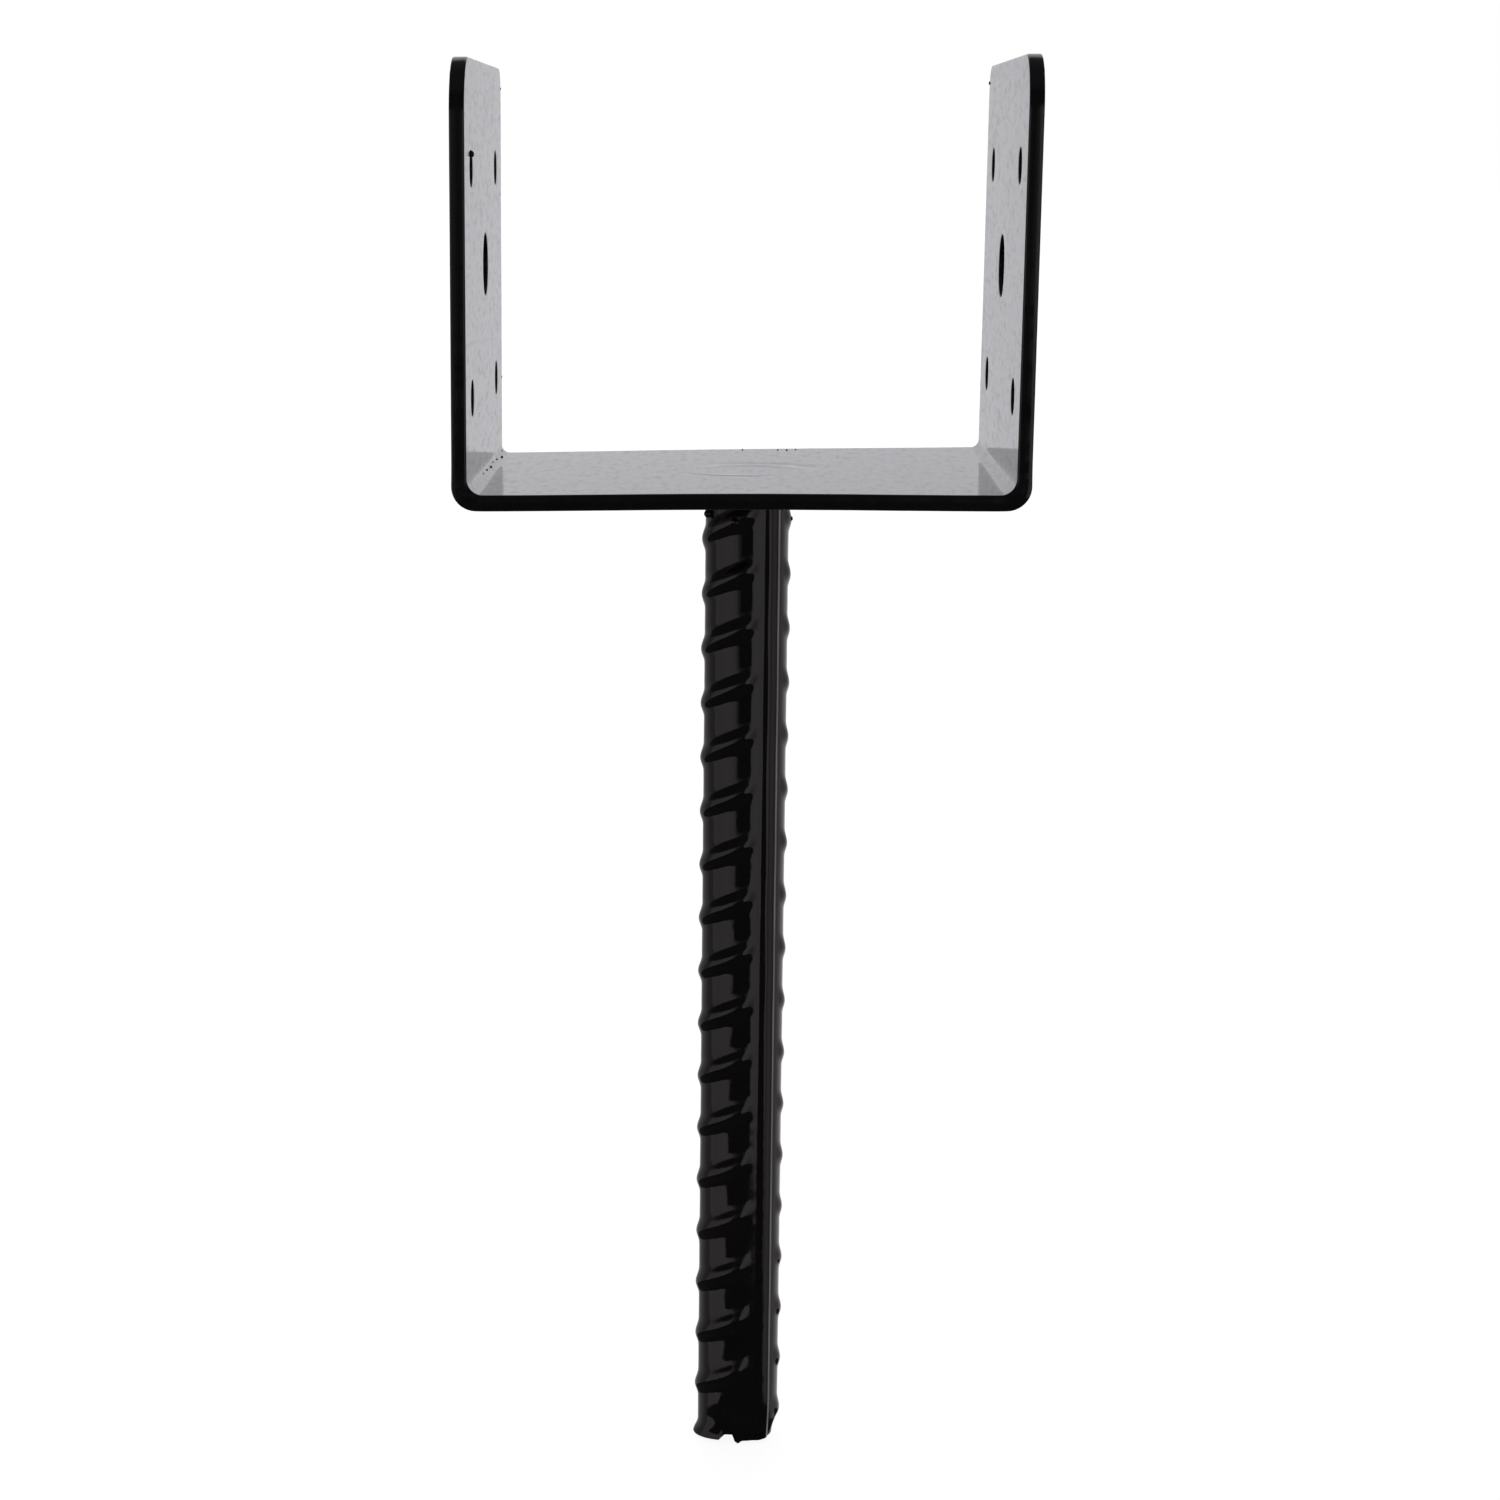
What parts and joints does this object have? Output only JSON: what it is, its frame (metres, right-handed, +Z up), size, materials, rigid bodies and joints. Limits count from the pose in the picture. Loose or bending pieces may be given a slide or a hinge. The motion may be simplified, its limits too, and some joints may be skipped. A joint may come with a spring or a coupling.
{
  "type": "post anchor",
  "caption": "U-shaped post bracket of bent strap steel, welded to a ribbed bar that is cast into concrete; screws and a bolt hold the post between its cheeks.",
  "frame": {"origin": "middle of the seat, the upper face of the base that the post stands on", "axes": "+Z up along the bar towards the post, +X from the left cheek to the right cheek, +Y from the front edge of the strap to its back edge"},
  "size_m": [0.096, 0.085, 0.2515],
  "materials": {
    "bracket_coat": "glossy black coat over steel strap",
    "bar_coat": "glossy black coat over rolled steel bar",
    "weld_coat": "glossy black coat over a rough weld bead"
  },
  "bodies": {
    "root": {"u_bracket": "bracket_coat", "rebar_anchor": "bar_coat", "fillet_weld": "weld_coat"}
  },
  "joints": []
}
